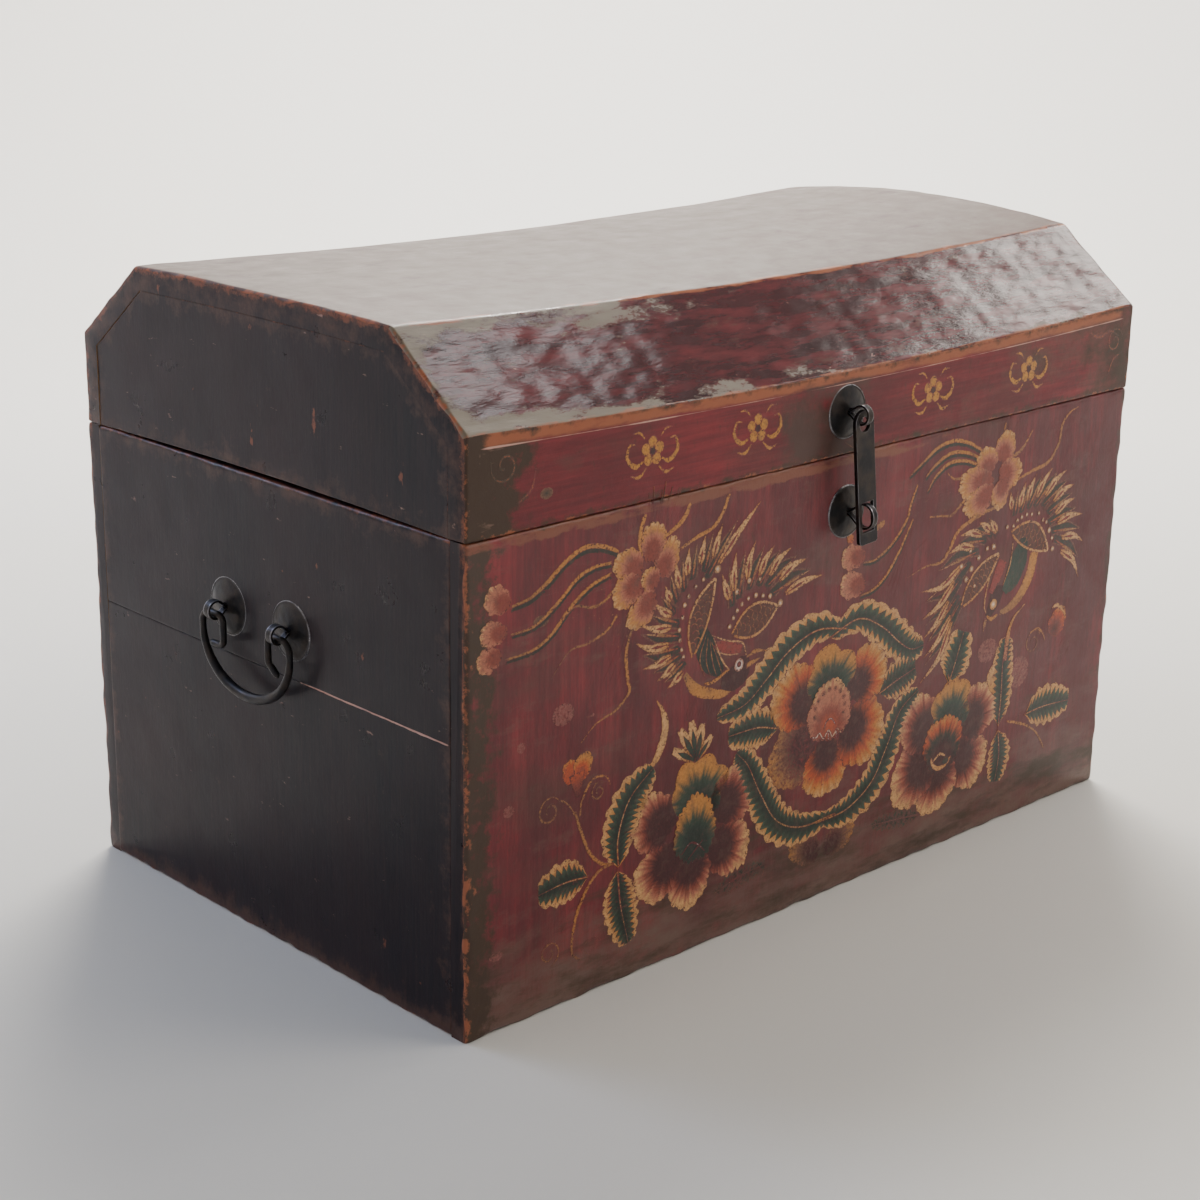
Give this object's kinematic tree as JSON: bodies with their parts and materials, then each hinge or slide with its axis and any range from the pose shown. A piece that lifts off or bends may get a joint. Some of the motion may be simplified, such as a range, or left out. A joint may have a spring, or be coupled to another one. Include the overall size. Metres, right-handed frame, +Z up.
{
  "type": "chinese trunk",
  "caption": "Painted wooden storage trunk with a sloped hinged lid, an iron hasp and staple on the front and an iron bail handle on each end.",
  "frame": {"origin": "centre of the flat base, on the floor", "axes": "+X along the length to the right as seen from the front, +Y towards the back, +Z up"},
  "size_m": [0.8026, 0.5148, 0.5139],
  "materials": {
    "red_lacquer": "worn dark red lacquer over cloth and wood, painted",
    "black_lacquer": "dull brown-black lacquer with worn brown borders",
    "brown_lacquer": "satin grey-brown lacquer with fine scratches",
    "bare_wood": "planed and aged, unpainted",
    "bamboo": "split and shaved",
    "iron": "forged, blackened, rims worn bright"
  },
  "bodies": {
    "box": {"front_board": "red_lacquer", "back_board": "black_lacquer", "left_lower_plank": "black_lacquer", "left_upper_plank": "black_lacquer", "right_lower_plank": "black_lacquer", "right_upper_plank": "black_lacquer", "bottom_plank_front": "bare_wood", "bottom_plank_middle": "bare_wood", "bottom_plank_back": "bare_wood", "corner_pegs": "bamboo", "bottom_nails": "iron", "staple_disc": "iron", "hasp_staple": "iron", "left_front_disc": "iron", "left_rear_disc": "iron", "left_front_eye": "iron", "left_rear_eye": "iron", "right_front_disc": "iron", "right_rear_disc": "iron", "right_front_eye": "iron", "right_rear_eye": "iron", "left_hinge_staple": "iron", "right_hinge_staple": "iron"},
    "lid": {"lid_front_rail": "red_lacquer", "lid_back_rail": "black_lacquer", "lid_front_slope": "red_lacquer", "lid_back_slope": "black_lacquer", "lid_top_board": "brown_lacquer", "lid_left_gable": "black_lacquer", "lid_right_gable": "black_lacquer", "lid_pegs": "bamboo", "hasp_eye_disc": "iron", "hasp_eye": "iron", "left_hinge_ring": "iron", "right_hinge_ring": "iron"},
    "hasp": {"hasp_strap": "iron"},
    "left_handle": {"left_bail": "iron"},
    "right_handle": {"right_bail": "iron"}
  },
  "joints": [
    {"name": "lid_hinge", "type": "hinge", "parent": "box", "child": "lid", "pos_m": [0, 0.2445, 0.3692], "axis": [-1, 0, 0], "range_deg": [0, 105]},
    {"name": "hasp_swing", "type": "hinge", "parent": "lid", "child": "hasp", "pos_m": [0.003, -0.2485, 0.4034], "axis": [-1, 0, 0], "range_deg": [0, 170]},
    {"name": "left_bail_swing", "type": "hinge", "parent": "box", "child": "left_handle", "pos_m": [-0.3935, 0.004, 0.2571], "axis": [0, 1, 0], "range_deg": [-6, 170]},
    {"name": "right_bail_swing", "type": "hinge", "parent": "box", "child": "right_handle", "pos_m": [0.3935, 0.004, 0.2571], "axis": [0, -1, 0], "range_deg": [-6, 170]}
  ]
}
